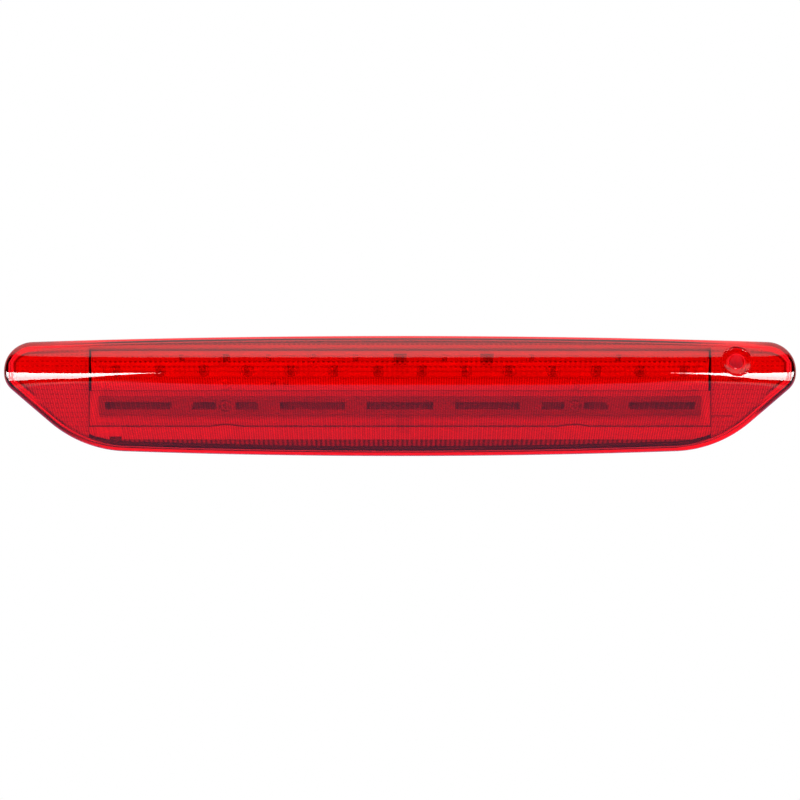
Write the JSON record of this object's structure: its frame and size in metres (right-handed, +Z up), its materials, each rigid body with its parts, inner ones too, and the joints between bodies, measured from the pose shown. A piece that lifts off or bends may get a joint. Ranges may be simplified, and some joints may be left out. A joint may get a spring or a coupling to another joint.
{
  "type": "third brake light",
  "caption": "Long red centre brake light with slanted ends, a row of lights behind its nose, a washer-nozzle hole, two fixing studs and a rear connector socket.",
  "frame": {"origin": "the middle of the line between the two studs, on the plane of the vehicle's skin that the gasket is pressed against", "axes": "+X along the lamp towards the washer-nozzle hole, +Z up, +Y into the vehicle along the studs; the lens faces -Y"},
  "size_m": [0.395, 0.0535, 0.06],
  "materials": {
    "red_lens": "gloss",
    "black_housing": "satin",
    "white_board": "satin",
    "led_body": "gloss",
    "chip_part": "matte",
    "capacitor_can": "satin",
    "clear_optic": "gloss",
    "dark_rail": "satin",
    "reflector": "satin",
    "plated_steel": "satin",
    "black_socket": "satin",
    "tinned_brass": "satin",
    "seal_rubber": "matte",
    "lead_insulation": "satin",
    "gasket_foam": "matte",
    "membrane": "matte"
  },
  "bodies": {
    "root": {"outer_lens": "red_lens", "housing": "black_housing", "led_board": "white_board", "leds": "led_body", "led_resistors": "chip_part", "protection_diode": "chip_part", "current_drivers": "chip_part", "smoothing_capacitor": "capacitor_can", "optic_strip": "clear_optic", "carrier_rail": "dark_rail", "lower_reflector": "reflector", "upper_reflector": "reflector", "left_end_reflector": "reflector", "right_end_reflector": "reflector", "board_screws": "plated_steel", "rail_screws": "plated_steel", "connector_socket": "black_socket", "connector_terminals": "tinned_brass", "connector_seal": "seal_rubber", "board_leads": "lead_insulation", "mounting_studs": "plated_steel", "stud_seals": "seal_rubber", "foam_gasket": "gasket_foam", "nozzle_seal": "seal_rubber", "vent_membrane": "membrane", "vent_cap": "black_socket"}
  },
  "joints": []
}
